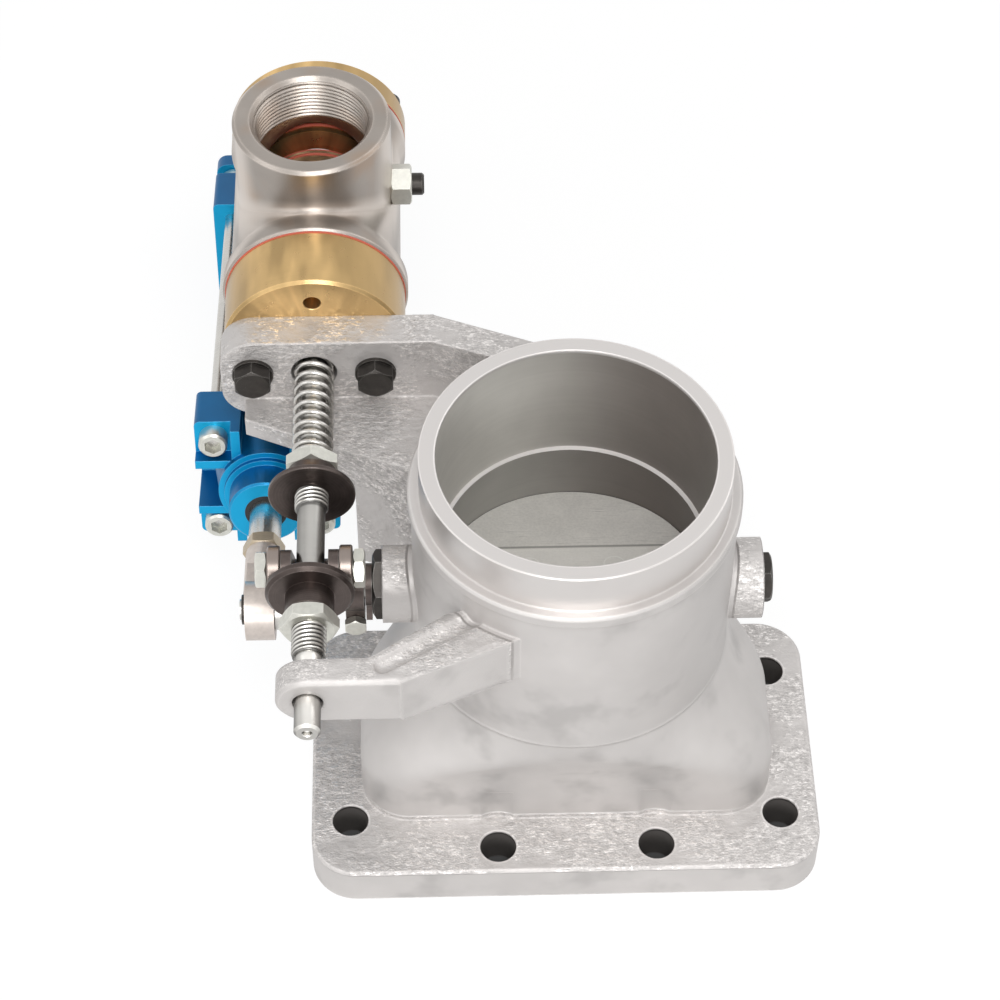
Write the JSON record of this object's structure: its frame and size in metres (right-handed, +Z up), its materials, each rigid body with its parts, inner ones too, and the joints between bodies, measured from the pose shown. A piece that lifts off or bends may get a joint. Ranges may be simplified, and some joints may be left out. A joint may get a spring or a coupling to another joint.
{
  "type": "blowdown valve",
  "caption": "Throttle casting on an oblong flange, with a linked blowdown valve in a threaded tee and an air cylinder that works both.",
  "frame": {"origin": "where the duct axis meets the underside of the flange", "axes": "+Z up along the duct axis, +X along the throttle shaft to its plugged end, +Y back along the valve stem to the tee"},
  "size_m": [0.3043, 0.4862, 0.231],
  "materials": {
    "cast_aluminium": "rough cast",
    "machined_aluminium": "machined",
    "bronze": "machined",
    "black_seal": "matte",
    "black_steel": "black oxide",
    "bright_steel": "ground",
    "zinc_steel": "zinc plated",
    "brown_steel": "oiled",
    "rod_end_steel": "satin",
    "brass": "turned",
    "red_seal": "matte",
    "stainless_steel": "brushed",
    "blue_aluminium": "anodised",
    "cylinder_tube": "anodised"
  },
  "bodies": {
    "casting": {"valve_body": "cast_aluminium", "shaft_bush_left": "bronze", "shaft_bush_right": "bronze", "shaft_packing": "black_seal", "gland_nut": "black_steel", "end_plug": "black_steel", "bracket_bolts": "black_steel", "bracket_washers": "black_steel", "bonnet": "brass", "stem_seal": "black_seal", "bonnet_seal": "red_seal", "adapter_seal": "red_seal", "tee_body": "stainless_steel", "side_fitting": "zinc_steel", "side_plug": "black_steel", "outlet_adapter": "brass", "cylinder_bracket": "black_steel", "bracket_screws": "black_steel"},
    "throttle": {"throttle_shaft": "bright_steel", "throttle_disc": "machined_aluminium", "disc_screws": "zinc_steel", "stop_collar": "black_steel", "crank": "brown_steel", "clamp_screw": "zinc_steel", "roller_bolt_left": "zinc_steel", "roller_bolt_right": "zinc_steel", "crank_pin": "bright_steel", "crank_pin_clip": "black_steel", "crank_pin_spacer": "bright_steel"},
    "left_roller": {"roller_left": "zinc_steel"},
    "right_roller": {"roller_right": "zinc_steel"},
    "stem": {"valve_stem": "bright_steel", "front_disc": "brown_steel", "rear_disc": "brown_steel", "front_nut": "zinc_steel", "rear_nut": "zinc_steel", "valve_piston": "brass", "piston_ring": "red_seal", "face_seal": "black_seal", "stem_end_nut": "zinc_steel", "return_spring": "bright_steel"},
    "cylinder": {"front_cap": "blue_aluminium", "rear_cap": "blue_aluminium", "clevis": "blue_aluminium", "clevis_screws": "black_steel", "cylinder_barrel": "cylinder_tube", "tie_rods": "bright_steel", "tie_rod_nuts": "zinc_steel", "rod_bush": "bronze", "rod_wiper": "black_seal", "pivot_pin": "bright_steel", "pivot_clips": "black_steel"},
    "rod": {"piston_rod": "bright_steel", "cylinder_piston": "cylinder_tube", "cylinder_piston_seal": "black_seal", "rod_end": "rod_end_steel", "jam_nut": "zinc_steel"}
  },
  "joints": [
    {"name": "throttle_turn", "type": "hinge", "parent": "casting", "child": "throttle", "pos_m": [0, 0, 0.1285], "axis": [-1, 0, 0], "range_deg": [0, 62]},
    {"name": "left_roller_spin", "type": "hinge", "parent": "throttle", "child": "left_roller", "pos_m": [-0.1352, -0.017, 0.1625], "axis": [1, 0, 0], "continuous": true},
    {"name": "right_roller_spin", "type": "hinge", "parent": "throttle", "child": "right_roller", "pos_m": [-0.108, -0.017, 0.1625], "axis": [1, 0, 0], "continuous": true},
    {"name": "stem_slide", "type": "slide", "parent": "casting", "child": "stem", "axis": [0, 1, 0], "range_m": [0, 0.0069], "deforming": ["return_spring"]},
    {"name": "cylinder_swivel", "type": "hinge", "parent": "casting", "child": "cylinder", "pos_m": [-0.1485, 0.36319, 0.03348], "axis": [-1, 0, 0], "range_deg": [0, 0.37]},
    {"name": "rod_slide", "type": "slide", "parent": "cylinder", "child": "rod", "axis": [0, -0.9816, 0.1908], "range_m": [0, 0.026]}
  ],
  "couplings": [
    {"joint": "stem_slide", "follows": "throttle_turn", "m_per_rad": 0.006321},
    {"joint": "cylinder_swivel", "follows": "throttle_turn", "ratio": 0.0058065},
    {"joint": "rod_slide", "follows": "throttle_turn", "m_per_rad": 0.023778}
  ]
}
